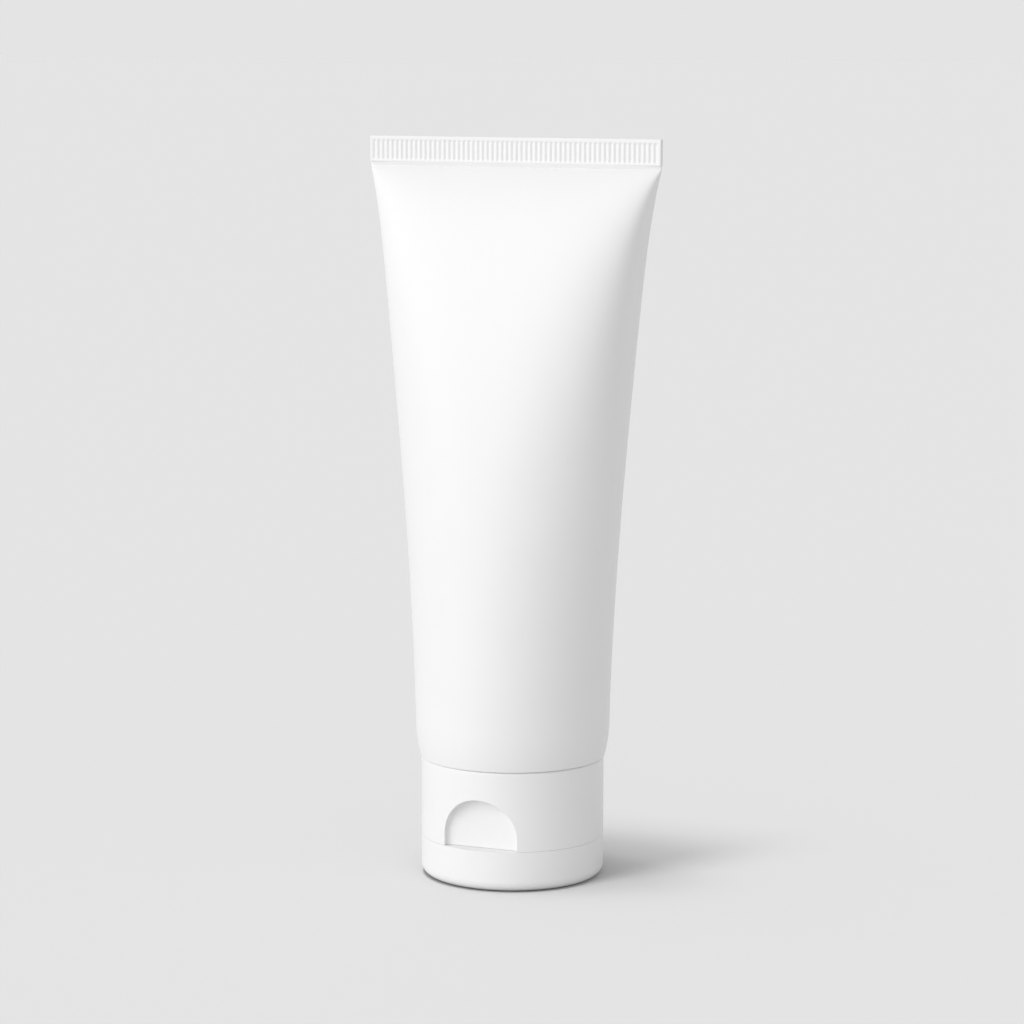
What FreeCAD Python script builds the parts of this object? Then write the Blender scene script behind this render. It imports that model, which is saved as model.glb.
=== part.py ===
import FreeCAD, Part

import math
import os

import Sketcher

# A plastic squeeze tube for sunscreen, standing on its flip-top cap.
#
# Millimetres. The origin is the centre of the cap's flat underside and +Z runs up the tube.
# The thumb recess faces -Y, the lid's hinge is at +Y, and the pressed end seam runs along X.
#
# A soft sleeve is extruded as a round tube, welded to a moulded head at its lower end and
# pressed flat and ribbed at its upper end. The head's neck snaps into the cap's base, and
# the lid is moulded to the base by a thin film along one straight line.

# ---------------------------------------------------------------------------- driving sizes

SIZES = {
    # sleeve
    "sleeve_radius": 20.2,        # outside, where the sleeve is still round
    "sleeve_wall": 0.5,
    "sleeve_length": 127.88,      # from its lower rim to the top of the end seam
    "heel_height": 7.83,          # stretch above the lower rim that curls inwards
    "heel_drop": 1.0,             # how far the lower rim lies inside the sleeve's radius
    "flatten_start": 2.7,         # power that sets how late the sleeve begins to flatten
    "flatten_finish": 0.72,       # power that sets how steeply it closes at the seam
    "widen_share": 0.94,          # part of the widening that comes evenly on the way up
    "widen_power": 1.45,          # power that sets how late that part comes
    "flare_power": 15.5,          # power of the rest, a flare close under the seam
    "cavity_share": 0.985,        # part of the flattening stretch where the walls stand apart
    # end seam
    "seam_spread": 0.22,          # how far pressing widens each end of the flat sleeve
    "seam_height": 5.2,
    "seam_thickness": 1.3,
    "rib_pitch": 1.065,
    "rib_depth": 0.22,
    "rib_mouth": 0.75,            # width of a groove at the seam's face
    "rib_root": 0.35,             # width of a groove at its bottom
    "rib_margin_low": 0.7,
    "rib_margin_high": 0.4,
    "rib_margin_end": 1.05,       # from an end of the seam to the middle of the last groove
    # head
    "neck_radius": 9.0,
    "neck_bore": 6.5,
    "neck_bead": 0.45,            # how far the snap bead stands out
    "neck_bead_height": 1.6,
    "neck_bead_up": 4.0,          # from the deck's inner face to the bead's lower edge
    "shoulder_thickness": 1.3,
    "weld_rim_height": 2.6,
    "weld_rim_wall": 1.2,
    "key_width": 3.0,
    "key_reach": 1.4,             # how far a key stands out from the neck
    "key_height": 5.5,
    # contents
    "fill_share": 0.65,           # part of the flattening stretch that the cream reaches
    # cap
    "cap_step": 0.2,              # how far the cap's face lies inside the sleeve's lower rim
    "cap_wall": 1.5,
    "base_height": 16.5,
    "deck_thickness": 1.5,
    "socket_wall": 1.5,
    "socket_height": 12.0,
    "seat_ring_height": 2.0,
    "seat_ring_wall": 1.2,
    "snap_bead": 0.15,
    "snap_bead_height": 0.6,
    "snap_bead_up": 0.9,          # from the seat ring's edge to the middle of its bead
    "nozzle_radius": 4.0,
    "nozzle_height": 4.0,
    "orifice_radius": 1.8,
    "rim_rounding": 0.5,
    # thumb recess
    "recess_half_width": 8.05,
    "recess_height": 10.5,
    "recess_depth": 3.0,          # from the cap's round face to the flat floor
    "recess_rounding": 0.6,
    "backing_wall": 1.4,
    # lid
    "lid_height": 8.46,
    "lid_wall": 1.5,
    "lid_floor": 1.5,
    "lid_edge_rounding": 2.2,
    "thumb_pad_height": 3.0,
    "plug_root_radius": 2.6,
    "plug_shoulder_radius": 2.2,
    "plug_radius": 1.55,
    "plug_tip_radius": 1.15,
    "plug_entry": 1.5,            # how deep the plug stands in the orifice
    # hinge
    "hinge_width": 10.0,
    "hinge_outset": 0.3,          # from the cap's round face to the hinge line
    "hinge_flat_height": 1.2,     # height of the flat on each side of the parting line
    "film_bead": 0.22,            # radius of the film at the hinge line
    "film_root": 0.7,             # height of the film where it joins a wall
    "film_sink": 0.3,             # overlap of the film with the wall that it grows from
    # clearances
    "parting_gap": 0.04,          # lid rim to base
    "sleeve_gap": 0.12,           # cap's top rim to the sleeve
    "weld_gap": 0.05,             # head to the sleeve's inner face
    "neck_clearance": 0.12,       # neck to its socket, each side
    "neck_end_gap": 0.1,          # end of the neck to the deck
    "key_clearance": 0.15,
    "fill_gap": 0.1,              # cream to the walls around it
    "seat_clearance": 0.3,        # seat ring to the lid's wall and thumb pad
    "plug_gap": 0.2,              # plug's shoulder to the nozzle's face
    "film_clearance": 0.08,       # lid's half of the film to the bead on the hinge line
}

SHEET = "Sizes"
OVERRUN = 1.0                     # how far a cutting shape runs past the solid that it cuts
FULL_TURN = 360.0
TOUCH = 0.001                     # two places closer than this are the same

# Shares of the flattening stretch at which the sleeve's section is set. They close up
# towards the seam, where the section changes fastest.
SECTION_SHARES = (0.0, 0.12, 0.25, 0.38, 0.5, 0.62, 0.73, 0.82, 0.89, 0.94, 0.975)

def cell(name):
    """Expression for one cell of the sheet."""
    return f"{SHEET}.{name}"


def total(*terms):
    """Expression for the sum of cells and expressions; a leading minus subtracts a term."""
    words = []
    for term in terms:
        sign = "-" if term.startswith("-") else "+"
        name = term.lstrip("-")
        words.append(f"{sign} ({cell(name) if name in SIZES else name})")
    return "0 " + " ".join(words)


# Heights that the pieces share.
BASE_BOTTOM = total("lid_height", "parting_gap")
BASE_TOP = total(BASE_BOTTOM, "base_height")
DECK_TOP = total(BASE_BOTTOM, "deck_thickness")
SOCKET_TOP = total(DECK_TOP, "socket_height")
SLEEVE_BOTTOM = total(BASE_TOP, "sleeve_gap")
HEEL_TOP = total(SLEEVE_BOTTOM, "heel_height")
SEAM_TOP = total(SLEEVE_BOTTOM, "sleeve_length")
SEAM_BOTTOM = total(SEAM_TOP, "-seam_height")
NECK_END = total(DECK_TOP, "neck_end_gap")
SHOULDER_TOP = total(SLEEVE_BOTTOM, "shoulder_thickness")
WELD_RIM_TOP = total(SLEEVE_BOTTOM, "weld_rim_height")
BEAD_LOW = total(DECK_TOP, "neck_bead_up")
BEAD_HIGH = total(BEAD_LOW, "neck_bead_height")
KEY_LOW = total(SLEEVE_BOTTOM, "-key_height")
NOZZLE_FACE = total(BASE_BOTTOM, "-nozzle_height")
SEAT_RING_EDGE = total(BASE_BOTTOM, "-seat_ring_height")
HINGE_UP = f"({cell('lid_height')} + {cell('parting_gap')} / 2)"

# Distances from the axis, and from the middle plane, that the pieces share.
CAP_RADIUS = f"({total('sleeve_radius', '-heel_drop', '-cap_step')})"
SEAM_HALF_WIDTH = f"(pi * {cell('sleeve_radius')} / 2 + {cell('seam_spread')})"
SOCKET_BORE = total("neck_radius", "neck_clearance")
LID_INNER = total(CAP_RADIUS, "-lid_wall")
SKIRT_INNER = total(CAP_RADIUS, "-cap_wall")
SKIRT_MIDDLE = f"({CAP_RADIUS} - {cell('cap_wall')} / 2)"
LID_WALL_MIDDLE = f"({CAP_RADIUS} - {cell('lid_wall')} / 2)"
SEAT_RING_OUTER = total(LID_INNER, "-seat_clearance")
SEAT_RING_INNER = total(SEAT_RING_OUTER, "-seat_ring_wall")
RECESS_FLOOR = total(CAP_RADIUS, "-recess_depth")
HINGE_OUT = total(CAP_RADIUS, "hinge_outset")
HINGE_FLAT = f"sqrt({CAP_RADIUS} ^ 2 - ({cell('hinge_width')} / 2) ^ 2)"
HEEL_CURVE = f"(({cell('heel_height')} ^ 2 + {cell('heel_drop')} ^ 2) / (2 * {cell('heel_drop')}))"
WELD_RIM_INNER = total(
    "sleeve_radius", "-heel_drop", "-sleeve_wall", "-weld_gap", "-weld_rim_wall"
)


def heel_out(inset, up):
    """Distance from the axis of a face that lies inset inside the sleeve's curled heel."""
    curve = f"({HEEL_CURVE} - ({inset}))"
    below = f"({HEEL_TOP} - ({up}))"
    return f"({cell('sleeve_radius')} - {HEEL_CURVE} + sqrt({curve} ^ 2 - {below} ^ 2))"


# ------------------------------------------------------------------------- document helpers


def make_sheet(doc):
    """The driving sizes, one row each: a name and a plain number with that name as alias."""
    sheet = doc.addObject("Spreadsheet::Sheet", SHEET)
    for row, (name, value) in enumerate(SIZES.items(), start=1):
        sheet.set(f"A{row}", name)
        sheet.set(f"B{row}", str(value))
        sheet.setAlias(f"B{row}", name)
    doc.recompute()
    return sheet


def number(doc, expression):
    """Value of an expression as the sheet stands."""
    return float(doc.getObject(SHEET).evalExpression(expression))


def make_body(doc, name):
    """An empty body with its own label."""
    body = doc.addObject("PartDesign::Body", name)
    body.Label = name
    return body


def origin_plane(body, role):
    """One of a body's own three planes."""
    for plane in body.Origin.OriginFeatures:
        if plane.Role == role:
            return plane
    raise RuntimeError(f"{body.Name} has no {role}")


def make_sketch(body, name, role, offset="0"):
    """An empty sketch on one of the body's planes, moved along that plane's normal."""
    sketch = body.newObject("Sketcher::SketchObject", name)
    sketch.AttachmentSupport = [(origin_plane(body, role), "")]
    sketch.MapMode = "FlatFace"
    sketch.setExpression("AttachmentOffset.Base.z", offset)
    return sketch


def bind(sketch, kind, geometry, corner, expression, value):
    """Hold one coordinate of a sketch point at an expression."""
    index = sketch.addConstraint(Sketcher.Constraint(kind, -1, 1, geometry, corner, value))
    sketch.setExpression(f"Constraints[{index}]", expression)


def arc_between(start, end, radius, turn):
    """Arc from start to end: turn is 1 where it bends left on the way, -1 where right."""
    chord = end - start
    middle = (start + end) * 0.5
    rise = math.sqrt(max(radius**2 - (chord.Length / 2) ** 2, 0.0))
    across = FreeCAD.Vector(-chord.y, chord.x, 0).normalize()
    centre = middle + across * rise * turn
    first, last = (start, end) if turn > 0 else (end, start)
    circle = Part.Circle(centre, FreeCAD.Vector(0, 0, 1), radius)
    return Part.ArcOfCircle(circle, circle.parameter(first), circle.parameter(last))


def draw_outline(sketch, corners, arcs=None):
    """Add a closed outline.

    corners are pairs of expressions. arcs gives, for the edge that leaves a corner, its
    radius as an expression and the side that it bends to.
    """
    doc = sketch.Document
    arcs = arcs or {}
    base = sketch.GeometryCount
    count = len(corners)
    points = [FreeCAD.Vector(number(doc, x), number(doc, y), 0) for x, y in corners]
    heads = []
    tails = []
    for step in range(count):
        start = points[step]
        end = points[(step + 1) % count]
        if step in arcs:
            radius, turn = arcs[step]
            geometry = sketch.addGeometry(arc_between(start, end, number(doc, radius), turn))
            heads.append((geometry, 1 if turn > 0 else 2))
            tails.append((geometry, 2 if turn > 0 else 1))
        else:
            geometry = sketch.addGeometry(Part.LineSegment(start, end))
            heads.append((geometry, 1))
            tails.append((geometry, 2))
    for step in range(count):
        following = heads[(step + 1) % count]
        sketch.addConstraint(Sketcher.Constraint("Coincident", *tails[step], *following))
    for (x, y), point, (geometry, corner) in zip(corners, points, heads):
        bind(sketch, "DistanceX", geometry, corner, x, point.x)
        bind(sketch, "DistanceY", geometry, corner, y, point.y)
    for step, (radius, _) in arcs.items():
        value = number(doc, radius)
        index = sketch.addConstraint(Sketcher.Constraint("Radius", base + step, value))
        sketch.setExpression(f"Constraints[{index}]", radius)


def draw_rectangle(sketch, left, right, low, high):
    """Add a rectangle between four expressions."""
    draw_outline(sketch, [(left, low), (right, low), (right, high), (left, high)])


def draw_round(sketch, across, up, radius):
    """Add a circle."""
    doc = sketch.Document
    centre = FreeCAD.Vector(number(doc, across), number(doc, up), 0)
    size = number(doc, radius)
    circle = sketch.addGeometry(Part.Circle(centre, FreeCAD.Vector(0, 0, 1), size))
    bind(sketch, "DistanceX", circle, 3, across, centre.x)
    bind(sketch, "DistanceY", circle, 3, up, centre.y)
    index = sketch.addConstraint(Sketcher.Constraint("Radius", circle, size))
    sketch.setExpression(f"Constraints[{index}]", radius)


def settle(doc, feature):
    """Recompute and stop if the feature has failed."""
    doc.recompute()
    if "Invalid" in feature.State or "Error" in feature.State:
        raise RuntimeError(f"{feature.Name} is {feature.State}")
    if feature.Shape.isNull() or not feature.Shape.isValid():
        raise RuntimeError(f"{feature.Name} has no valid shape")


def revolve(body, sketch, name):
    """Turn a sketch about its vertical axis."""
    feature = body.newObject("PartDesign::Revolution", name)
    feature.Profile = sketch
    feature.ReferenceAxis = (sketch, ["V_Axis"])
    feature.Angle = FULL_TURN
    settle(body.Document, feature)
    return feature


def extrude(body, kind, sketch, name, length, both_ways=False, backwards=False):
    """Pad or pocket a sketch, and check that it added or took away material."""
    doc = body.Document
    before = 0.0 if body.Shape.isNull() else body.Shape.Volume
    feature = body.newObject(f"PartDesign::{kind}", name)
    feature.Profile = sketch
    feature.SideType = "Symmetric" if both_ways else "One side"
    feature.Reversed = backwards
    feature.setExpression("Length", length)
    settle(doc, feature)
    change = body.Shape.Volume - before
    if kind == "Pad" and change <= 0 or kind == "Pocket" and change >= 0:
        raise RuntimeError(f"{feature.Name} changed the volume by {change}")
    return feature


def edges_where(shape, wanted):
    """Names of the edges for which wanted(edge) is true."""
    names = [f"Edge{i}" for i, edge in enumerate(shape.Edges, start=1) if wanted(edge)]
    if not names:
        raise RuntimeError("no edge found to round")
    return names


def round_edges(body, name, radius, wanted):
    """Fillet the body's edges for which wanted(edge) is true."""
    base = body.Tip
    feature = body.newObject("PartDesign::Fillet", name)
    feature.Base = (base, edges_where(base.Shape, wanted))
    feature.setExpression("Radius", radius)
    settle(body.Document, feature)
    return feature


def combine(doc, kind, name, *pieces):
    """Boolean of two or more objects, labelled as the piece that it makes."""
    feature = doc.addObject(f"Part::{kind}", name)
    if kind == "Cut":
        feature.Base, feature.Tool = pieces
    else:
        feature.Shapes = list(pieces)
    feature.Label = name
    settle(doc, feature)
    return feature


def at_height(edge, up):
    """True for an edge that lies level at a height."""
    box = edge.BoundBox
    return abs(box.ZMin - up) < TOUCH and box.ZLength < TOUCH


# ------------------------------------------------------------------------------------ sleeve


def narrow_half(share):
    """Half the sleeve's thickness, front to back, at a share of the flattening stretch."""
    folded = f"({cell('seam_thickness')} / 2)"
    left = f"pow(1 - pow({share}; {cell('flatten_start')}); {cell('flatten_finish')})"
    return f"({folded} + ({cell('sleeve_radius')} - {folded}) * {left})"


def wide_half(share):
    """Half the sleeve's width there, from round at the heel to as wide as the seam."""
    evenly = f"{cell('widen_share')} * pow({share}; {cell('widen_power')})"
    flare = f"(1 - {cell('widen_share')}) * pow({share}; {cell('flare_power')})"
    gain = f"({SEAM_HALF_WIDTH} - {cell('sleeve_radius')})"
    return f"({cell('sleeve_radius')} + {gain} * ({evenly} + {flare}))"


def flattening_height(share):
    """Height of a section at a share of the flattening stretch."""
    return f"{HEEL_TOP} + {share} * ({SEAM_BOTTOM} - ({HEEL_TOP}))"


def flattening_loft(doc, name, inset, shares):
    """Solid from the round heel up through ever flatter ellipses, inset from the outside."""
    sections = []
    for step, share in enumerate(shares):
        if step == 0:
            section = doc.addObject("Part::Circle", f"{name}_round")
            section.setExpression("Radius", f"{cell('sleeve_radius')} - ({inset})")
        else:
            section = doc.addObject("Part::Ellipse", f"{name}_section_{step}")
            section.MajorRadius = 2 * SIZES["sleeve_radius"]
            section.setExpression("MajorRadius", f"{wide_half(share)} - ({inset})")
            section.setExpression("MinorRadius", f"{narrow_half(share)} - ({inset})")
        section.setExpression("Placement.Base.z", flattening_height(share))
        sections.append(section)
    loft = doc.addObject("Part::Loft", name)
    loft.Sections = sections
    loft.Solid = True
    settle(doc, loft)
    return loft


def make_heel(doc):
    """Ring at the sleeve's lower end, curled inwards to meet the cap."""
    body = make_body(doc, "sleeve_heel")
    sketch = make_sketch(body, "heel_section", "XZ_Plane")
    wall = cell("sleeve_wall")
    corners = [
        (heel_out("0", SLEEVE_BOTTOM), SLEEVE_BOTTOM),
        (cell("sleeve_radius"), HEEL_TOP),
        (total("sleeve_radius", "-sleeve_wall"), HEEL_TOP),
        (heel_out(wall, SLEEVE_BOTTOM), SLEEVE_BOTTOM),
    ]
    arcs = {0: (HEEL_CURVE, 1), 2: (f"{HEEL_CURVE} - {wall}", -1)}
    draw_outline(sketch, corners, arcs)
    revolve(body, sketch, "heel_ring")
    return body


def make_end_seam(doc):
    """Flat band where the sleeve's walls are pressed together, ribbed on both faces."""
    body = make_body(doc, "end_seam")
    half_thick = f"{cell('seam_thickness')} / 2"
    outline = make_sketch(body, "seam_outline", "XY_Plane", SEAM_BOTTOM)
    draw_rectangle(
        outline, f"-{SEAM_HALF_WIDTH}", SEAM_HALF_WIDTH, f"-{half_thick}", half_thick
    )
    extrude(body, "Pad", outline, "seam_band", cell("seam_height"))

    grooves = make_sketch(
        body, "groove_outline", "XY_Plane", total(SEAM_BOTTOM, "rib_margin_low")
    )
    reach = f"(2 * ({SEAM_HALF_WIDTH} - {cell('rib_margin_end')}))"
    steps = f"floor({reach} / {cell('rib_pitch')})"
    first = f"(-{cell('rib_pitch')} * {steps} / 2)"
    for side in ("", "-"):
        face = f"{side}({half_thick})"
        root = f"{side}({half_thick} - {cell('rib_depth')})"
        corners = [
            (f"{first} - {cell('rib_mouth')} / 2", face),
            (f"{first} + {cell('rib_mouth')} / 2", face),
            (f"{first} + {cell('rib_root')} / 2", root),
            (f"{first} - {cell('rib_root')} / 2", root),
        ]
        draw_outline(grooves, corners)
    length = total("seam_height", "-rib_margin_low", "-rib_margin_high")
    pocket = extrude(body, "Pocket", grooves, "groove_pair", length, backwards=True)

    row = body.newObject("PartDesign::LinearPattern", "groove_row")
    row.Originals = [pocket]
    row.Direction = (grooves, ["H_Axis"])
    row.Mode = "Spacing"
    row.setExpression("Offset", cell("rib_pitch"))
    row.setExpression("Occurrences", f"{steps} + 1")
    body.Tip = row
    settle(doc, row)
    return body


def make_tube_sleeve(doc):
    """Extruded sleeve: a thin wall, round at the heel and pressed flat at the top."""
    open_share = SIZES["cavity_share"]
    inner_shares = [share for share in SECTION_SHARES if share < open_share] + [open_share]
    outer = flattening_loft(doc, "sleeve_outside", "0", list(SECTION_SHARES) + [1.0])
    inner = flattening_loft(doc, "sleeve_inside", cell("sleeve_wall"), inner_shares)
    shell = combine(doc, "Cut", "sleeve_shell", outer, inner)
    sleeve = combine(doc, "MultiFuse", "tube_sleeve", make_heel(doc), shell, make_end_seam(doc))
    return sleeve


# -------------------------------------------------------------------------------------- head


def make_tube_head(doc):
    """Moulded shoulder and neck, with a snap bead and two keys that line up the cap."""
    body = make_body(doc, "tube_head")
    profile = make_sketch(body, "head_section", "XZ_Plane")
    neck = cell("neck_radius")
    bore = cell("neck_bore")
    bead = total("neck_radius", "neck_bead")
    bead_slope = cell("neck_bead")
    rim = total("sleeve_wall", "weld_gap")
    corners = [
        (bore, NECK_END),
        (neck, NECK_END),
        (neck, BEAD_LOW),
        (bead, total(BEAD_LOW, bead_slope)),
        (bead, total(BEAD_HIGH, f"-{bead_slope}")),
        (neck, BEAD_HIGH),
        (neck, SLEEVE_BOTTOM),
        (heel_out(rim, SLEEVE_BOTTOM), SLEEVE_BOTTOM),
        (heel_out(rim, WELD_RIM_TOP), WELD_RIM_TOP),
        (WELD_RIM_INNER, WELD_RIM_TOP),
        (WELD_RIM_INNER, SHOULDER_TOP),
        (bore, SHOULDER_TOP),
    ]
    draw_outline(profile, corners, {7: (f"{HEEL_CURVE} - ({rim})", 1)})
    revolve(body, profile, "neck_and_shoulder")

    keys = make_sketch(body, "key_outline", "XY_Plane", KEY_LOW)
    near = f"({bore} + {neck}) / 2"
    far = total("neck_radius", "key_reach")
    half = f"{cell('key_width')} / 2"
    draw_rectangle(keys, near, far, f"-{half}", half)
    draw_rectangle(keys, f"-({far})", f"-({near})", f"-{half}", half)
    height = f"{cell('key_height')} + {cell('shoulder_thickness')} / 2"
    extrude(body, "Pad", keys, "keys", height)
    return body


# ------------------------------------------------------------------------------------- cream


def make_sunscreen_fill(doc):
    """Cream that fills the neck and most of the sleeve, with an air space under the seam."""
    gap = cell("fill_gap")
    inset = total("sleeve_wall", "fill_gap")
    reach = SIZES["fill_share"]
    shares = [share for share in SECTION_SHARES if share < reach] + [reach]
    upper = flattening_loft(doc, "fill_in_sleeve", inset, shares)

    lower = make_body(doc, "fill_in_head")
    profile = make_sketch(lower, "fill_section", "XZ_Plane")
    column = total("neck_bore", "-fill_gap")
    over_rim = total(WELD_RIM_TOP, "fill_gap")
    over_shoulder = total(SHOULDER_TOP, "fill_gap")
    inside_rim = total(WELD_RIM_INNER, "-fill_gap")
    corners = [
        ("0", total(NECK_END, gap)),
        (column, total(NECK_END, gap)),
        (column, over_shoulder),
        (inside_rim, over_shoulder),
        (inside_rim, over_rim),
        (heel_out(inset, over_rim), over_rim),
        (total("sleeve_radius", f"-({inset})"), HEEL_TOP),
        ("0", HEEL_TOP),
    ]
    draw_outline(profile, corners, {5: (f"{HEEL_CURVE} - ({inset})", 1)})
    revolve(lower, profile, "fill_below_sleeve")
    return combine(doc, "MultiFuse", "sunscreen_fill", lower, upper)


# --------------------------------------------------------------------------------------- cap


def draw_chord_pad(sketch, inner_y, radius):
    """Area between a straight line across the front at inner_y and a circle."""
    half = f"sqrt(({radius}) ^ 2 - ({inner_y}) ^ 2)"
    corners = [(f"-{half}", f"-({inner_y})"), (half, f"-({inner_y})")]
    draw_outline(sketch, corners, {1: (radius, -1)})


def cut_hinge_flat(body):
    """Straight flat across the back, on both sides of the parting line."""
    sketch = make_sketch(body, f"{body.Name}_flat_outline", "YZ_Plane")
    low = f"{HINGE_UP} - {cell('hinge_flat_height')}"
    high = f"{HINGE_UP} + {cell('hinge_flat_height')}"
    draw_rectangle(sketch, HINGE_FLAT, f"{HINGE_FLAT} + {OVERRUN}", low, high)
    extrude(
        body, "Pocket", sketch, f"{body.Name}_flat", cell("hinge_width"), both_ways=True
    )


def add_film_half(body, side, clearance):
    """Half of the hinge film, from the flat out to the hinge line.

    side is 1 above the parting line and -1 below it.
    """
    sketch = make_sketch(body, f"{body.Name}_film_outline", "YZ_Plane")
    root = f"({HINGE_FLAT} - {cell('film_sink')})"
    start = cell("parting_gap")
    bead = f"({cell('film_bead')} + {clearance})"
    out = f"{HINGE_OUT} - sqrt({bead} ^ 2 - ({start} / 2) ^ 2)"
    corners = [
        (root, f"{HINGE_UP} + {side} * {start}"),
        (out, f"{HINGE_UP} + {side} * {start} / 2"),
        (HINGE_OUT, f"{HINGE_UP} + {side} * {bead}"),
        (root, f"{HINGE_UP} + {side} * ({start} + {cell('film_root')})"),
    ]
    draw_outline(sketch, corners, {1: (bead, -side)})
    extrude(body, "Pad", sketch, f"{body.Name}_film", cell("hinge_width"), both_ways=True)


def draw_recess(sketch, low):
    """D shape of the thumb recess: straight sides up to a half circle."""
    half = cell("recess_half_width")
    top = total(BASE_BOTTOM, "recess_height")
    spring = f"{top} - {half}"
    corners = [
        (f"-{half}", low),
        (half, low),
        (half, spring),
        ("0", top),
        (f"-{half}", spring),
    ]
    draw_outline(sketch, corners, {2: (half, 1), 3: (half, 1)})


def make_recess_cutter(doc):
    """Solid that hollows out the thumb recess, rounded where it meets the flat floor."""
    body = make_body(doc, "recess_cutter")
    sketch = make_sketch(body, "recess_outline", "XZ_Plane", RECESS_FLOOR)
    draw_recess(sketch, f"{BASE_BOTTOM} - {OVERRUN}")
    extrude(body, "Pad", sketch, "recess_block", f"{cell('recess_depth')} + {OVERRUN}")
    floor = -number(doc, RECESS_FLOOR)
    low = number(doc, f"{BASE_BOTTOM} - {OVERRUN}")

    def around_floor(edge):
        box = edge.BoundBox
        on_floor = abs(box.YMin - floor) < TOUCH and box.YLength < TOUCH
        return on_floor and not at_height(edge, low)

    round_edges(body, "recess_floor_edge", cell("recess_rounding"), around_floor)
    return body


def make_cap_base(doc):
    """Lower part of the cap: skirt, deck with the nozzle, neck socket and lid seat."""
    body = make_body(doc, "cap_base_moulding")
    profile = make_sketch(body, "base_section", "XZ_Plane")
    outer = CAP_RADIUS
    bore = SOCKET_BORE
    groove = total(SOCKET_BORE, "neck_bead")
    slope = cell("neck_bead")
    ring_bead = total(SEAT_RING_OUTER, "snap_bead")
    bead_middle = total(SEAT_RING_EDGE, "snap_bead_up")
    bead_half = f"{cell('snap_bead_height')} / 2"
    socket_outer = total(SOCKET_BORE, "socket_wall")
    margin = cell("neck_clearance")
    corners = [
        (cell("orifice_radius"), NOZZLE_FACE),
        (cell("nozzle_radius"), NOZZLE_FACE),
        (cell("nozzle_radius"), BASE_BOTTOM),
        (SEAT_RING_INNER, BASE_BOTTOM),
        (SEAT_RING_INNER, SEAT_RING_EDGE),
        (SEAT_RING_OUTER, SEAT_RING_EDGE),
        (SEAT_RING_OUTER, f"{bead_middle} - {bead_half}"),
        (ring_bead, bead_middle),
        (SEAT_RING_OUTER, f"{bead_middle} + {bead_half}"),
        (SEAT_RING_OUTER, BASE_BOTTOM),
        (outer, BASE_BOTTOM),
        (outer, BASE_TOP),
        (SKIRT_INNER, BASE_TOP),
        (SKIRT_INNER, DECK_TOP),
        (socket_outer, DECK_TOP),
        (socket_outer, SOCKET_TOP),
        (bore, SOCKET_TOP),
        (bore, total(BEAD_HIGH, margin)),
        (groove, total(BEAD_HIGH, margin, f"-{slope}")),
        (groove, total(BEAD_LOW, f"-{margin}", slope)),
        (bore, total(BEAD_LOW, f"-{margin}")),
        (bore, DECK_TOP),
        (cell("orifice_radius"), DECK_TOP),
    ]
    draw_outline(profile, corners)
    revolve(body, profile, "base_turned")

    backing = make_sketch(body, "backing_outline", "XY_Plane", BASE_BOTTOM)
    draw_chord_pad(backing, total(RECESS_FLOOR, "-backing_wall"), SKIRT_MIDDLE)
    extrude(body, "Pad", backing, "recess_backing", total("recess_height", "backing_wall"))

    clear = make_sketch(body, "ring_gap_outline", "YZ_Plane")
    front = total(RECESS_FLOOR, "-seat_clearance")
    draw_rectangle(
        clear, f"-({outer})", f"-({front})", f"{SEAT_RING_EDGE} - {OVERRUN}", BASE_BOTTOM
    )
    extrude(body, "Pocket", clear, "ring_gap", f"2 * {outer}", both_ways=True)

    notches = make_sketch(body, "notch_outline", "XY_Plane", total(KEY_LOW, "-key_clearance"))
    near = cell("neck_bore")
    far = total(socket_outer, str(OVERRUN))
    half = f"({cell('key_width')} / 2 + {cell('key_clearance')})"
    draw_rectangle(notches, near, far, f"-{half}", half)
    draw_rectangle(notches, f"-({far})", f"-({near})", f"-{half}", half)
    depth = f"{SOCKET_TOP} - ({KEY_LOW}) + {cell('key_clearance')} + {OVERRUN}"
    extrude(body, "Pocket", notches, "key_notches", depth, backwards=True)

    cut_hinge_flat(body)
    add_film_half(body, 1, "0")
    bead = make_sketch(body, "film_bead_outline", "YZ_Plane")
    draw_round(bead, HINGE_OUT, HINGE_UP, cell("film_bead"))
    extrude(body, "Pad", bead, "film_bead", cell("hinge_width"), both_ways=True)

    top = number(doc, BASE_TOP)
    radius = number(doc, CAP_RADIUS)

    def outer_rim(edge):
        return at_height(edge, top) and edge.BoundBox.XMax > radius - TOUCH

    round_edges(body, "rim_edge", cell("rim_rounding"), outer_rim)
    return combine(doc, "Cut", "cap_base", body, make_recess_cutter(doc))


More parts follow.
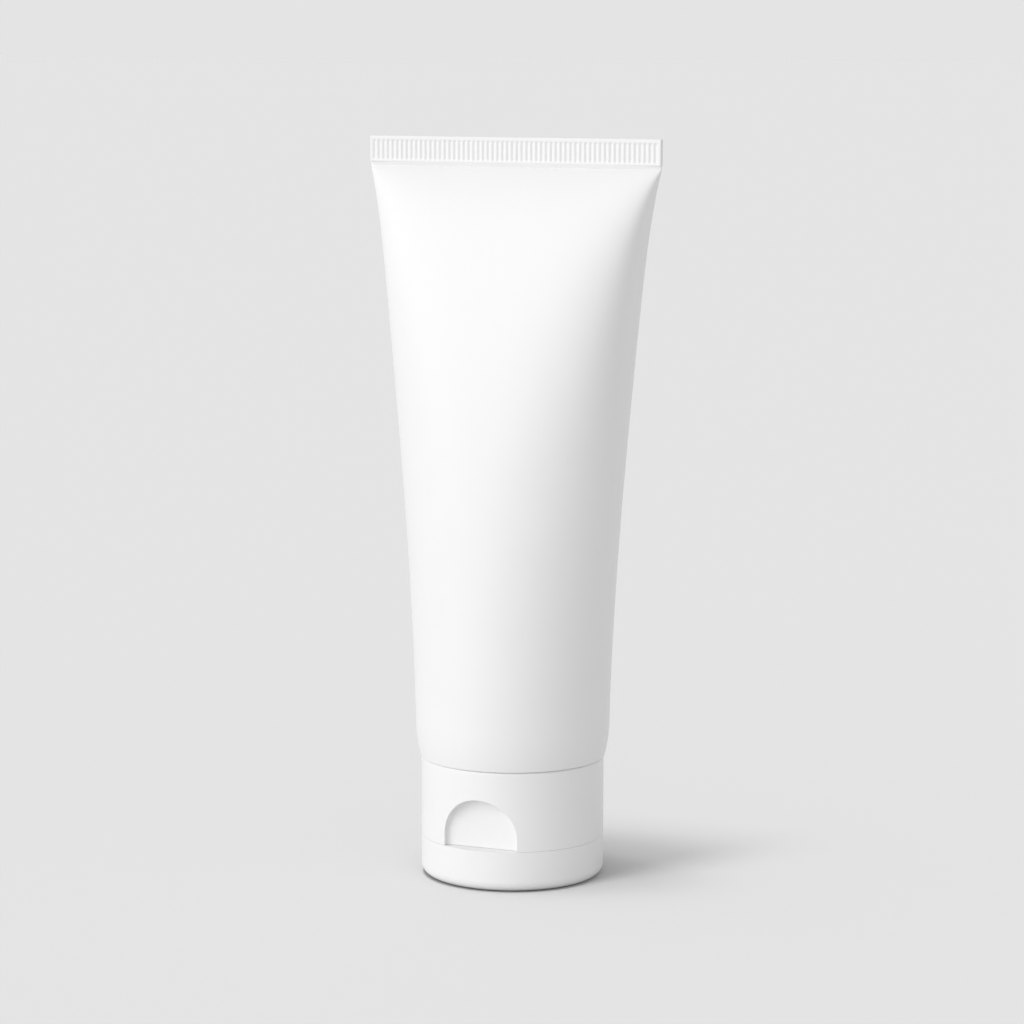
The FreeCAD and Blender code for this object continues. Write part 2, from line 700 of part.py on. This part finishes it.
def make_flip_lid(doc):
    """Lid that the tube stands on: a cup with a rounded edge, a plug and a thumb pad."""
    body = make_body(doc, "flip_lid")
    profile = make_sketch(body, "lid_section", "XZ_Plane")
    outer = CAP_RADIUS
    round_out = cell("lid_edge_rounding")
    inside_corner = total("lid_edge_rounding", "-lid_wall")
    floor = cell("lid_floor")
    shoulder = total(NOZZLE_FACE, "-plug_gap")
    tip = total(NOZZLE_FACE, "plug_entry")
    corners = [
        ("0", "0"),
        (total(CAP_RADIUS, "-lid_edge_rounding"), "0"),
        (outer, round_out),
        (outer, cell("lid_height")),
        (LID_INNER, cell("lid_height")),
        (LID_INNER, total("lid_floor", inside_corner)),
        (total(LID_INNER, f"-({inside_corner})"), floor),
        (cell("plug_root_radius"), floor),
        (cell("plug_shoulder_radius"), shoulder),
        (cell("plug_radius"), shoulder),
        (cell("plug_tip_radius"), tip),
        ("0", tip),
    ]
    draw_outline(profile, corners, {1: (round_out, 1), 5: (inside_corner, -1)})
    revolve(body, profile, "lid_turned")

    pad = make_sketch(
        body, "thumb_pad_outline", "XY_Plane", total("lid_height", "-thumb_pad_height")
    )
    draw_chord_pad(pad, RECESS_FLOOR, LID_WALL_MIDDLE)
    extrude(body, "Pad", pad, "thumb_pad", cell("thumb_pad_height"))

    cut_hinge_flat(body)
    add_film_half(body, -1, cell("film_clearance"))
    return body


# -------------------------------------------------------------------------------- the object


def build():
    """Make every piece, check it and write its file."""
    doc = FreeCAD.newDocument("sunscreen_tube")
    make_sheet(doc)
    pieces = [
        make_tube_sleeve(doc),
        make_tube_head(doc),
        make_sunscreen_fill(doc),
        make_cap_base(doc),
        make_flip_lid(doc),
    ]
    doc.recompute()
    for item in doc.Objects:
        if "Invalid" in item.State or "Error" in item.State:
            raise RuntimeError(f"{item.Name} is {item.State}")
    for piece in pieces:
        if piece.Shape.isNull() or not piece.Shape.isValid():
            raise RuntimeError(f"{piece.Label} has no valid shape")
    os.makedirs("parts", exist_ok=True)
    for piece in pieces:
        piece.Shape.exportStep(f"parts/{piece.Label}.step")
        box = piece.Shape.BoundBox
        print(
            f"{piece.Label}: {len(piece.Shape.Solids)} solid, {piece.Shape.Volume:.1f} mm3, "
            f"z {box.ZMin:.2f} to {box.ZMax:.2f}, x {box.XLength:.2f}, y {box.YLength:.2f}"
        )


build()
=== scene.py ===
import bpy
import bmesh
import math
from mathutils import Matrix, Vector


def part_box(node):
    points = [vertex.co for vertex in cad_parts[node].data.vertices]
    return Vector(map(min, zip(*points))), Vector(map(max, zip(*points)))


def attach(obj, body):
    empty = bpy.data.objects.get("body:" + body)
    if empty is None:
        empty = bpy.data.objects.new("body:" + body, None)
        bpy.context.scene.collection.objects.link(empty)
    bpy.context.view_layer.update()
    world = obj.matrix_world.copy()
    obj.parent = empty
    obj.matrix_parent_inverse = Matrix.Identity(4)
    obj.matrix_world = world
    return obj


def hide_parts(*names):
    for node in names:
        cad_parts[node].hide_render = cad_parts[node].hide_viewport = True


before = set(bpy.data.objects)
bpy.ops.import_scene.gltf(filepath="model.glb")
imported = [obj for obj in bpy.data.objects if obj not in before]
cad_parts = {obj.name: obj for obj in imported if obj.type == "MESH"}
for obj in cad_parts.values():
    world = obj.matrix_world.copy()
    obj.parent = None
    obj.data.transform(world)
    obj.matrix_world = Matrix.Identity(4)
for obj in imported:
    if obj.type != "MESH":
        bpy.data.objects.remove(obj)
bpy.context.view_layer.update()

# The studio: one pale floor without an edge and a plain pale surround. A row of soft lamps,
# from high at the left over the top to the front, and a sky light the floor alone and give
# it the tube's shadow. A broad lamp at the left and a sky light the tube alone.

scene = bpy.context.scene
scene.view_settings.view_transform = "Standard"

FLOOR_SEEN = 0.505                          # the floor's tone where it is looked at
FLOOR_GIVEN = 0.43                          # and for the light that it sends to the tube
SURROUND_SEEN = 0.776                       # the same two tones of the surround
SURROUND_GIVEN = 0.43
FLOOR_SPAN = 60.0                           # metres


def link_nodes(tree, *links):
    """Join pairs of sockets."""
    for out_socket, in_socket in links:
        tree.links.new(out_socket, in_socket)


def new_material(name):
    """An empty node material with its Principled shader joined to the output."""
    material = bpy.data.materials.new(name)
    material.use_nodes = True
    tree = material.node_tree
    tree.nodes.clear()
    output = tree.nodes.new("ShaderNodeOutputMaterial")
    shader = tree.nodes.new("ShaderNodeBsdfPrincipled")
    link_nodes(tree, (shader.outputs["BSDF"], output.inputs["Surface"]))
    return material, tree, shader


def finish_object(bm, name, material):
    """Turn a bmesh into a linked object at the origin, with outward faces."""
    bmesh.ops.recalc_face_normals(bm, faces=bm.faces)
    mesh = bpy.data.meshes.new(name)
    bm.to_mesh(mesh)
    bm.free()
    mesh.materials.append(material)
    piece = bpy.data.objects.new(name, mesh)
    scene.collection.objects.link(piece)
    return piece


def mix_colours(tree, factor, first, second):
    """The first colour where a factor's socket gives 0, and the second where it gives 1."""
    mix = tree.nodes.new("ShaderNodeMix")
    mix.data_type = "RGBA"
    mix.inputs[6].default_value = first     # a Mix node's colours are reached by number alone
    mix.inputs[7].default_value = second
    link_nodes(tree, (factor, mix.inputs["Factor"]))
    return mix.outputs[2]


def seen_or_given(tree, seen, given):
    """A grey that depends on whether a surface is looked at or only sends its light on."""
    path = tree.nodes.new("ShaderNodeLightPath")
    looked_at = path.outputs["Is Camera Ray"]
    for other in ("Is Glossy Ray", "Is Transmission Ray"):
        either = tree.nodes.new("ShaderNodeMath")
        either.operation = "MAXIMUM"
        link_nodes(tree, (looked_at, either.inputs[0]), (path.outputs[other], either.inputs[1]))
        looked_at = either.outputs[0]
    return mix_colours(tree, looked_at, (given, given, given, 1), (seen, seen, seen, 1))


floor_paint, floor_tree, floor_shader = new_material("floor_paint")
floor_tone = seen_or_given(floor_tree, FLOOR_SEEN, FLOOR_GIVEN)
link_nodes(floor_tree, (floor_tone, floor_shader.inputs["Base Color"]))
floor_shader.inputs["Roughness"].default_value = 1.0
floor_shader.inputs["Specular IOR Level"].default_value = 0.0

floor_bm = bmesh.new()
bmesh.ops.create_grid(floor_bm, x_segments=1, y_segments=1, size=FLOOR_SPAN / 2)
floor = finish_object(floor_bm, "studio_floor", floor_paint)

world = bpy.data.worlds.new("studio_surround")
scene.world = world
world.use_nodes = True
world_tree = world.node_tree
world_tree.nodes.clear()
world_output = world_tree.nodes.new("ShaderNodeOutputWorld")
background = world_tree.nodes.new("ShaderNodeBackground")
link_nodes(
    world_tree,
    (seen_or_given(world_tree, SURROUND_SEEN, SURROUND_GIVEN), background.inputs["Color"]),
    (background.outputs[0], world_output.inputs["Surface"]),
)

# Each lamp's azimuth from the front, towards the right, its elevation, how wide it looks from
# the tube, all in degrees, and its strength
FLOOR_LAMPS = (
    (-90.0, 86.0, 8.0, 0.45),
    (-45.0, 84.0, 8.0, 0.42),
    (-16.0, 78.0, 8.0, 0.94),
    (-20.0, 72.0, 8.0, 0.49),
    (0.0, 89.0, 178.0, 1.23),
)
TUBE_LAMPS = (
    (-32.0, 19.0, 60.0, 1.72),
    (0.0, 89.0, 178.0, 0.60),
)


def direction(azimuth, elevation):
    """Where an azimuth from the front, towards the right, and an elevation point, in degrees."""
    turn, rise = math.radians(azimuth), math.radians(elevation)
    return Vector((
        math.sin(turn) * math.cos(rise), -math.cos(turn) * math.cos(rise), math.sin(rise)
    ))


def add_lamp(name, lit_alone, azimuth, elevation, width, strength):
    """A far, soft, round lamp that shines towards the origin and lights one collection."""
    to_lamp = direction(azimuth, elevation)
    data = bpy.data.lights.new(name, "SUN")
    data.energy = strength
    data.angle = math.radians(width)
    lamp = bpy.data.objects.new(name, data)
    scene.collection.objects.link(lamp)
    lamp.location = to_lamp
    lamp.rotation_mode = "QUATERNION"
    lamp.rotation_quaternion = to_lamp.to_track_quat("Z", "Y")
    lamp.light_linking.receiver_collection = lit_alone


floor_alone = bpy.data.collections.new("floor_alone")
floor_alone.objects.link(floor)
tube_alone = bpy.data.collections.new("tube_alone")
for settings in FLOOR_LAMPS:
    add_lamp("floor_lamp", floor_alone, *settings)
for settings in TUBE_LAMPS:
    add_lamp("tube_lamp", tube_alone, *settings)

# The camera stands a little above the tube and to its right, far enough away for the sides
# to stay nearly parallel.

MM = 0.001                                  # metres. Sizes from here on are written in mm
VIEW_AZIMUTH = 22.285                       # degrees, as the two below
VIEW_ELEVATION = 8.026
VIEW_ROLL = 0.137
VIEW_DISTANCE = 691.1 * MM
VIEW_AIM_RIGHT = -0.253 * MM
VIEW_AIM_HEIGHT = 75.97 * MM
LENS = 117.5                                # mm, as a camera takes it
SENSOR = 36.0
NEAREST = 0.01                              # metres, what the camera sees from and to
FARTHEST = 100.0

camera_data = bpy.data.cameras.new("camera")
camera_data.lens = LENS
camera_data.sensor_width = SENSOR
camera_data.clip_start = NEAREST
camera_data.clip_end = FARTHEST
camera = bpy.data.objects.new("camera", camera_data)
scene.collection.objects.link(camera)
scene.camera = camera
to_camera = direction(VIEW_AZIMUTH, VIEW_ELEVATION)
view_right = direction(VIEW_AZIMUTH + 90, 0)
aim = view_right * VIEW_AIM_RIGHT + Vector((0, 0, VIEW_AIM_HEIGHT))
camera.location = aim + to_camera * VIEW_DISTANCE
camera.rotation_mode = "QUATERNION"
camera.rotation_quaternion = (
    to_camera.to_track_quat("Z", "Y")
    @ Matrix.Rotation(math.radians(VIEW_ROLL), 3, "Z").to_quaternion()
)

# Shared surface effects. Moulded and extruded plastic both have a fine grain, slow changes
# in tone and gloss, and faint rubbing marks from hands and shelves.

GRAIN_SIZE = 0.22                           # width of one grain of the satin skin
MOTTLE_SIZE = 14.0                          # reach of the slow changes in tone
SCUFF_LENGTH = 9.0
SCUFF_WIDTH = 0.5
SCUFF_TURN = (0.3, 0.5, 0.2)                # radians, so that the marks run aslant
SCUFF_EDGE, SCUFF_CORE = 0.68, 0.78         # heights of the noise where a mark begins and is full
NOISE_LOW, NOISE_HIGH = 0.3, 0.7            # span that most of a noise lies in
DARKEST = 0.985                             # share of the tone left in its darkest places
MOTTLE_GLOSS = 0.035                        # how far each effect moves the roughness
GRAIN_GLOSS = 0.02
SCUFF_GLOSS = 0.06
SCUFF_DEPTH = 0.35                          # of the grain's depth
PLASTIC_IOR = 1.5


def add_node(tree, kind, settings=(), values=()):
    """A node with its attributes and unlinked inputs set."""
    node = tree.nodes.new(kind)
    for name, setting in dict(settings).items():
        setattr(node, name, setting)
    for name, value in dict(values).items():
        node.inputs[name].default_value = value
    return node


def add_noise(tree, scale, detail=2.0):
    """Noise over the piece, with scale in features a metre."""
    return add_node(tree, "ShaderNodeTexNoise", values={"Scale": scale, "Detail": detail})


def add_range(tree, low, high, new_low, new_high):
    """Map Range from one span to another, held at its ends."""
    return add_node(
        tree, "ShaderNodeMapRange", {"clamp": True},
        {"From Min": low, "From Max": high, "To Min": new_low, "To Max": new_high},
    )


def add_math(tree, operation, value=None):
    """Math node, with its second value set where one is given."""
    node = add_node(tree, "ShaderNodeMath", {"operation": operation})
    if value is not None:
        node.inputs[1].default_value = value
    return node


def new_group(name, inputs, outputs):
    """Shader node group with its sockets: pairs of a name and Color, Float or Vector."""
    group = bpy.data.node_groups.new(name, "ShaderNodeTree")
    for in_out, sockets in (("INPUT", inputs), ("OUTPUT", outputs)):
        for socket_name, kind in sockets:
            group.interface.new_socket(
                socket_name, in_out=in_out, socket_type=f"NodeSocket{kind}"
            )
    return group, group.nodes.new("NodeGroupInput"), group.nodes.new("NodeGroupOutput")


skin, skin_in, skin_out = new_group(
    "plastic_skin",
    (("Vector", "Vector"), ("Tone", "Color"), ("Gloss Base", "Float")),
    (("Color", "Color"), ("Roughness", "Float"), ("Height", "Float")),
)
grain = add_noise(skin, 1 / (GRAIN_SIZE * MM))
mottle = add_noise(skin, 1 / (MOTTLE_SIZE * MM), detail=3.0)
stretch = add_node(
    skin, "ShaderNodeMapping",
    values={
        "Rotation": SCUFF_TURN,
        "Scale": (1 / SCUFF_WIDTH / MM, 1 / SCUFF_WIDTH / MM, 1 / SCUFF_LENGTH / MM),
    },
)
scuffs = add_noise(skin, 1.0)
scuff_mask = add_range(skin, SCUFF_EDGE, SCUFF_CORE, 0.0, 1.0)
tone_shift = add_range(skin, NOISE_LOW, NOISE_HIGH, DARKEST, 1.0)
scuff_tone = add_range(skin, 0.0, 1.0, 1.0, DARKEST)
shade = add_math(skin, "MULTIPLY")
colour = add_node(skin, "ShaderNodeVectorMath", {"operation": "SCALE"})
mottle_gloss = add_range(skin, NOISE_LOW, NOISE_HIGH, -MOTTLE_GLOSS, MOTTLE_GLOSS)
grain_gloss = add_range(skin, NOISE_LOW, NOISE_HIGH, -GRAIN_GLOSS, GRAIN_GLOSS)
scuff_gloss = add_math(skin, "MULTIPLY", SCUFF_GLOSS)
gloss_sum = add_math(skin, "ADD")
gloss_total = add_math(skin, "ADD")
gloss_final = add_math(skin, "SUBTRACT")
scuff_height = add_math(skin, "MULTIPLY", SCUFF_DEPTH)
height = add_math(skin, "SUBTRACT")
link_nodes(
    skin,
    (skin_in.outputs["Vector"], grain.inputs["Vector"]),
    (skin_in.outputs["Vector"], mottle.inputs["Vector"]),
    (skin_in.outputs["Vector"], stretch.inputs["Vector"]),
    (stretch.outputs["Vector"], scuffs.inputs["Vector"]),
    (scuffs.outputs["Fac"], scuff_mask.inputs["Value"]),
    (mottle.outputs["Fac"], tone_shift.inputs["Value"]),
    (scuff_mask.outputs["Result"], scuff_tone.inputs["Value"]),
    (tone_shift.outputs["Result"], shade.inputs[0]),
    (scuff_tone.outputs["Result"], shade.inputs[1]),
    (skin_in.outputs["Tone"], colour.inputs[0]),
    (shade.outputs[0], colour.inputs["Scale"]),
    (colour.outputs["Vector"], skin_out.inputs["Color"]),
    (mottle.outputs["Fac"], mottle_gloss.inputs["Value"]),
    (grain.outputs["Fac"], grain_gloss.inputs["Value"]),
    (scuff_mask.outputs["Result"], scuff_gloss.inputs[0]),
    (mottle_gloss.outputs["Result"], gloss_sum.inputs[0]),
    (grain_gloss.outputs["Result"], gloss_sum.inputs[1]),
    (gloss_sum.outputs[0], gloss_total.inputs[0]),
    (skin_in.outputs["Gloss Base"], gloss_total.inputs[1]),
    (gloss_total.outputs[0], gloss_final.inputs[0]),
    (scuff_gloss.outputs[0], gloss_final.inputs[1]),
    (gloss_final.outputs[0], skin_out.inputs["Roughness"]),
    (scuff_mask.outputs["Result"], scuff_height.inputs[0]),
    (grain.outputs["Fac"], height.inputs[0]),
    (scuff_height.outputs[0], height.inputs[1]),
    (height.outputs[0], skin_out.inputs["Height"]),
)


def plastic(name, tone, roughness, grain_depth):
    """An opaque satin plastic, with its grain's depth in mm."""
    material, tree, shader = new_material(name)
    place = add_node(tree, "ShaderNodeTexCoord")
    surface = add_node(tree, "ShaderNodeGroup", {"node_tree": skin})
    surface.inputs["Tone"].default_value = (*tone, 1)
    surface.inputs["Gloss Base"].default_value = roughness
    bump = add_node(
        tree, "ShaderNodeBump", values={"Strength": 1.0, "Distance": grain_depth * MM}
    )
    link_nodes(
        tree,
        (place.outputs["Object"], surface.inputs["Vector"]),
        (surface.outputs["Color"], shader.inputs["Base Color"]),
        (surface.outputs["Roughness"], shader.inputs["Roughness"]),
        (surface.outputs["Height"], bump.inputs["Height"]),
        (bump.outputs["Normal"], shader.inputs["Normal"]),
    )
    shader.inputs["IOR"].default_value = PLASTIC_IOR
    return material


# The squeeze sleeve is one extruded tube of soft white polyethylene. It curls in to the
# shoulder at its heel, and hot jaws press it flat at the top and leave fine upright ribs.

SLEEVE_WALL = 0.5
HEEL_HEIGHT = 7.83
HEEL_DROP = 1.0                             # how far the heel curls in
FLATTEN_START = 2.7                         # the sleeve flattens late and closes steeply
FLATTEN_FINISH = 0.72
WIDEN_SHARE = 0.74                          # part of the widening that comes evenly
WIDEN_POWER = 1.35
FLARE_POWER = 9.5                           # the rest comes close under the seam
ROUND_POWER = 2.0                           # a section's power where it is a plain ellipse
SQUARE_GAIN = 2.6                           # how much squarer than an ellipse it ends
SQUARE_POWER = 3.0
CAVITY_SHARE = 0.985                        # part of the height that is hollow inside
AROUND = 224                                # points round a section
HEEL_STEPS = 10
LEVEL_RUNS = (                              # rings over the heel: share of the height where a
    (0.0, 0.02, 1, 40),                     # run starts, the gap, and the first and end steps
    (0.8, 0.01, 0, 12),
    (0.92, 0.004, 0, 20),
)
SEAM_HEIGHT = 5.2
SEAM_THICKNESS = 1.3
SEAM_NECK = 0.9                             # strip under the band where the walls draw in
NECK_THICKNESS = 0.65
SEAM_ROUNDING = 0.12
ROUNDING_STEPS = 3
RIB_COUNT = 59
RIB_PITCH = 1.065
RIB_DEPTH = 0.26
RIB_MARGIN_LOW = 0.3                        # plain strips under and over the ribs
RIB_MARGIN_HIGH = 0.75
RIB_FADE = 0.25                             # height over which a rib begins and ends
RIB_COLUMNS = 8                             # strips of mesh across one rib
RIB_ROWS = 30
PARALLEL = 1.001                            # most that a parallel edge is longer than its run
SLEEVE_TONE = (0.875, 0.875, 0.875)
SLEEVE_GLOSS = 0.45
SLEEVE_GRAIN = 0.004
SLEEVE_CRISP = 50                           # degrees, the bend from which an edge stays crisp

sleeve_low, sleeve_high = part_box("tube_sleeve")
SLEEVE_BOTTOM = sleeve_low[2] / MM
SLEEVE_TOP = sleeve_high[2] / MM
SEAM_HALF_WIDTH = sleeve_high[0] / MM
SLEEVE_RADIUS = sleeve_high[1] / MM
HEEL_TOP = SLEEVE_BOTTOM + HEEL_HEIGHT
SEAM_BOTTOM = SLEEVE_TOP - SEAM_HEIGHT
NECK_BOTTOM = SEAM_BOTTOM - SEAM_NECK
HEEL_CURVE = (HEEL_HEIGHT ** 2 + HEEL_DROP ** 2) / (2 * HEEL_DROP)  # radius of the curl


def sleeve_section(up):
    """Half width, half depth and power of the sleeve's outer section at a height."""
    if up < HEEL_TOP:
        below = HEEL_TOP - up
        radius = SLEEVE_RADIUS - HEEL_CURVE + math.sqrt(HEEL_CURVE ** 2 - below ** 2)
        return radius, radius, ROUND_POWER
    share = min((up - HEEL_TOP) / (NECK_BOTTOM - HEEL_TOP), 1.0)
    least = NECK_THICKNESS / 2
    closing = (1 - share ** FLATTEN_START) ** FLATTEN_FINISH
    narrow = least + (SLEEVE_RADIUS - least) * closing
    if up > NECK_BOTTOM:
        narrow += (SEAM_THICKNESS / 2 - least) * (up - NECK_BOTTOM) / SEAM_NECK
    evenly = WIDEN_SHARE * share ** WIDEN_POWER
    flare = (1 - WIDEN_SHARE) * share ** FLARE_POWER
    wide = SLEEVE_RADIUS + (SEAM_HALF_WIDTH - SLEEVE_RADIUS) * (evenly + flare)
    return wide, narrow, ROUND_POWER + SQUARE_GAIN * share ** SQUARE_POWER


def shade_smooth(piece, sharp_angle):
    """Smooth shading, with edges sharper than an angle in degrees left crisp."""
    piece.data.shade_smooth()
    piece.data.set_sharp_from_angle(angle=math.radians(sharp_angle))


def next_ring(bm, edges):
    """Extrude a loop of edges and return the new loop's edges and points."""
    made = bmesh.ops.extrude_edge_only(bm, edges=edges)["geom"]
    ring = [item for item in made if isinstance(item, bmesh.types.BMVert)]
    loop = [
        item for item in made
        if isinstance(item, bmesh.types.BMEdge) and all(vert in ring for vert in item.verts)
    ]
    return loop, ring


def raise_wall(bm, loop, levels):
    """Draw a wall up from a loop at the first level through the others, and close it."""
    for below, above in zip(levels, levels[1:]):
        loop, ring = next_ring(bm, loop)
        bmesh.ops.translate(bm, vec=(0, 0, above - below), verts=ring)
    bmesh.ops.edgeloop_fill(bm, edges=loop)


# The walls' rings stand closer together towards the seam
outer_levels = [
    SLEEVE_BOTTOM + HEEL_HEIGHT * step / HEEL_STEPS for step in range(HEEL_STEPS + 1)
]
flattening = NECK_BOTTOM - HEEL_TOP
for start, gap, first, end in LEVEL_RUNS:
    outer_levels += [HEEL_TOP + flattening * (start + gap * step) for step in range(first, end)]
outer_levels += [NECK_BOTTOM, SEAM_BOTTOM]
inner_levels = [
    level for level in outer_levels if level < HEEL_TOP + flattening * CAVITY_SHARE
]

# A straight double wall with its rim at the heel, then every point is moved to its section
sleeve_bm = bmesh.new()
bmesh.ops.create_circle(sleeve_bm, segments=AROUND, radius=SLEEVE_RADIUS)
bmesh.ops.translate(sleeve_bm, vec=(0, 0, SLEEVE_BOTTOM), verts=sleeve_bm.verts)
rim_outside = list(sleeve_bm.edges)
rim_inside, ring = next_ring(sleeve_bm, rim_outside)
inner_scale = 1 - SLEEVE_WALL / SLEEVE_RADIUS
bmesh.ops.scale(sleeve_bm, vec=(inner_scale, inner_scale, 1), verts=ring)
raise_wall(sleeve_bm, rim_outside, outer_levels)
raise_wall(sleeve_bm, rim_inside, inner_levels)
for vert in sleeve_bm.verts:
    out = math.hypot(vert.co.x, vert.co.y)
    cosine, sine, inset = vert.co.x / out, vert.co.y / out, SLEEVE_RADIUS - out
    wide, narrow, power = sleeve_section(vert.co.z)
    vert.co.x = math.copysign((wide - inset) * abs(cosine) ** (2 / power), cosine)
    vert.co.y = math.copysign((narrow - inset) * abs(sine) ** (2 / power), sine)

# The seam's band, cut into fine strips that the ribs are pressed into
band_bm = bmesh.new()
band_bottom = SEAM_BOTTOM - SEAM_ROUNDING
band_height = SLEEVE_TOP - band_bottom
bmesh.ops.create_cube(band_bm, size=1.0)
bmesh.ops.scale(
    band_bm, vec=(2 * SEAM_HALF_WIDTH, SEAM_THICKNESS, band_height), verts=band_bm.verts
)
bmesh.ops.translate(
    band_bm, vec=(0, 0, band_bottom + band_height / 2), verts=band_bm.verts
)
bmesh.ops.bevel(
    band_bm, geom=list(band_bm.edges), affect="EDGES", offset=SEAM_ROUNDING,
    segments=ROUNDING_STEPS, profile=0.5, material=-1,
)


def runs_along(edge, axis, least):
    """Whether an edge is parallel to an axis and longer than least."""
    step = edge.verts[1].co - edge.verts[0].co
    return abs(step[axis]) > least and step.length < abs(step[axis]) * PARALLEL


bmesh.ops.subdivide_edges(
    band_bm, edges=[edge for edge in band_bm.edges if runs_along(edge, 0, SEAM_HALF_WIDTH)],
    cuts=(RIB_COUNT + 1) * RIB_COLUMNS - 1, use_grid_fill=True,
)
bmesh.ops.subdivide_edges(
    band_bm, edges=[edge for edge in band_bm.edges if runs_along(edge, 2, band_height / 2)],
    cuts=RIB_ROWS - 1, use_grid_fill=True,
)
rib_low = SEAM_BOTTOM + RIB_MARGIN_LOW
rib_high = SLEEVE_TOP - RIB_MARGIN_HIGH
rib_end = RIB_COUNT * RIB_PITCH / 2
for vert in band_bm.verts:
    inside = min(vert.co.z - rib_low, rib_high - vert.co.z) / RIB_FADE
    if inside <= 0 or abs(vert.co.x) >= rib_end or abs(vert.co.y) < SEAM_THICKNESS / 4:
        continue
    fade = min(inside, 1.0)
    wave = 0.5 + 0.5 * math.cos(2 * math.pi * vert.co.x / RIB_PITCH)
    press = RIB_DEPTH * wave * fade * fade * (3 - 2 * fade)
    vert.co.y -= math.copysign(press, vert.co.y)

band_mesh = bpy.data.meshes.new("seam_band")
band_bm.to_mesh(band_mesh)
band_bm.free()
sleeve_bm.from_mesh(band_mesh)
bpy.data.meshes.remove(band_mesh)
bmesh.ops.scale(sleeve_bm, vec=(MM, MM, MM), verts=sleeve_bm.verts)
sleeve_skin = plastic("sleeve_polyethylene", SLEEVE_TONE, SLEEVE_GLOSS, SLEEVE_GRAIN)
sleeve = finish_object(sleeve_bm, "squeeze_sleeve", sleeve_skin)
shade_smooth(sleeve, SLEEVE_CRISP)
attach(sleeve, "tube")
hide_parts("tube_sleeve")
tube_alone.objects.link(sleeve)

# The head is the shoulder and neck, moulded in a stiffer polyethylene and welded into the
# sleeve's heel. A bead and two keys on the neck hold the cap.

HEAD_TONE = (0.82, 0.82, 0.81)
HEAD_GLOSS = 0.36
HEAD_GRAIN = 0.002


def dress_node(name, material):
    """Give a solid of the frame its material and the tube's light."""
    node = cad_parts[name]
    node.material_slots[0].material = material
    tube_alone.objects.link(node)


dress_node("tube_head", plastic("head_polyethylene", HEAD_TONE, HEAD_GLOSS, HEAD_GRAIN))

# The cap is moulded in polypropylene in one shot: a base that snaps on the neck and a lid
# that hangs on it by a thin film at the back. Both halves have the same satin face.

CAP_TONE = (0.875, 0.875, 0.875)
CAP_GLOSS = 0.42
CAP_GRAIN = 0.003

cap_skin = plastic("cap_polypropylene", CAP_TONE, CAP_GLOSS, CAP_GRAIN)
dress_node("cap_base", cap_skin)
dress_node("flip_lid", cap_skin)

# Sunscreen: a thick off-white cream with a wet surface that fills the sleeve. It keeps its
# solid's form, drawn in where the sleeve is squarer, and shows only through the orifice.

CREAM_GAP = 0.1                             # between the cream and the sleeve's wall
CREAM_MERGE = 0.001                         # points of the solid closer than this are one
CREAM_DARK = (0.83, 0.79, 0.69, 1)
CREAM_LIGHT = (0.88, 0.85, 0.77, 1)
SWIRL_SIZE = 3.0
SWIRL_TWIST = 1.2
SWIRL_DEPTH = 0.05
SWIRL_STRENGTH = 0.6
CURD_SIZE = 0.4                             # the finer changes in gloss
CREAM_WET, CREAM_DRY = 0.18, 0.32           # roughness of the glossiest and dullest places
CREAM_CRISP = 30                            # degrees, the bend from which an edge stays crisp

cream, cream_tree, cream_shader = new_material("sunscreen_cream")
cream_place = add_node(cream_tree, "ShaderNodeTexCoord")
cream_swirl = add_noise(cream_tree, 1 / (SWIRL_SIZE * MM))
cream_swirl.inputs["Distortion"].default_value = SWIRL_TWIST
cream_curd = add_noise(cream_tree, 1 / (CURD_SIZE * MM))
cream_tone = mix_colours(cream_tree, cream_swirl.outputs["Fac"], CREAM_DARK, CREAM_LIGHT)
cream_gloss = add_range(cream_tree, NOISE_LOW, NOISE_HIGH, CREAM_WET, CREAM_DRY)
cream_bump = add_node(
    cream_tree, "ShaderNodeBump",
    values={"Strength": SWIRL_STRENGTH, "Distance": SWIRL_DEPTH * MM},
)
link_nodes(
    cream_tree,
    (cream_place.outputs["Object"], cream_swirl.inputs["Vector"]),
    (cream_place.outputs["Object"], cream_curd.inputs["Vector"]),
    (cream_tone, cream_shader.inputs["Base Color"]),
    (cream_curd.outputs["Fac"], cream_gloss.inputs["Value"]),
    (cream_gloss.outputs["Result"], cream_shader.inputs["Roughness"]),
    (cream_swirl.outputs["Fac"], cream_bump.inputs["Height"]),
    (cream_bump.outputs["Normal"], cream_shader.inputs["Normal"]),
)
cream_bm = bmesh.new()
cream_bm.from_mesh(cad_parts["sunscreen_fill"].data)
bmesh.ops.remove_doubles(cream_bm, verts=cream_bm.verts, dist=CREAM_MERGE * MM)
for vert in cream_bm.verts:
    wide, narrow, power = sleeve_section(vert.co.z / MM)
    across = abs(vert.co.x) / (wide - SLEEVE_WALL - CREAM_GAP) / MM
    deep = abs(vert.co.y) / (narrow - SLEEVE_WALL - CREAM_GAP) / MM
    beyond = (across ** power + deep ** power) ** (1 / power)
    if vert.co.z / MM > HEEL_TOP and beyond > 1:
        vert.co.x /= beyond
        vert.co.y /= beyond
sunscreen = finish_object(cream_bm, "sunscreen", cream)
shade_smooth(sunscreen, CREAM_CRISP)
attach(sunscreen, "tube")
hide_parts("sunscreen_fill")
tube_alone.objects.link(sunscreen)
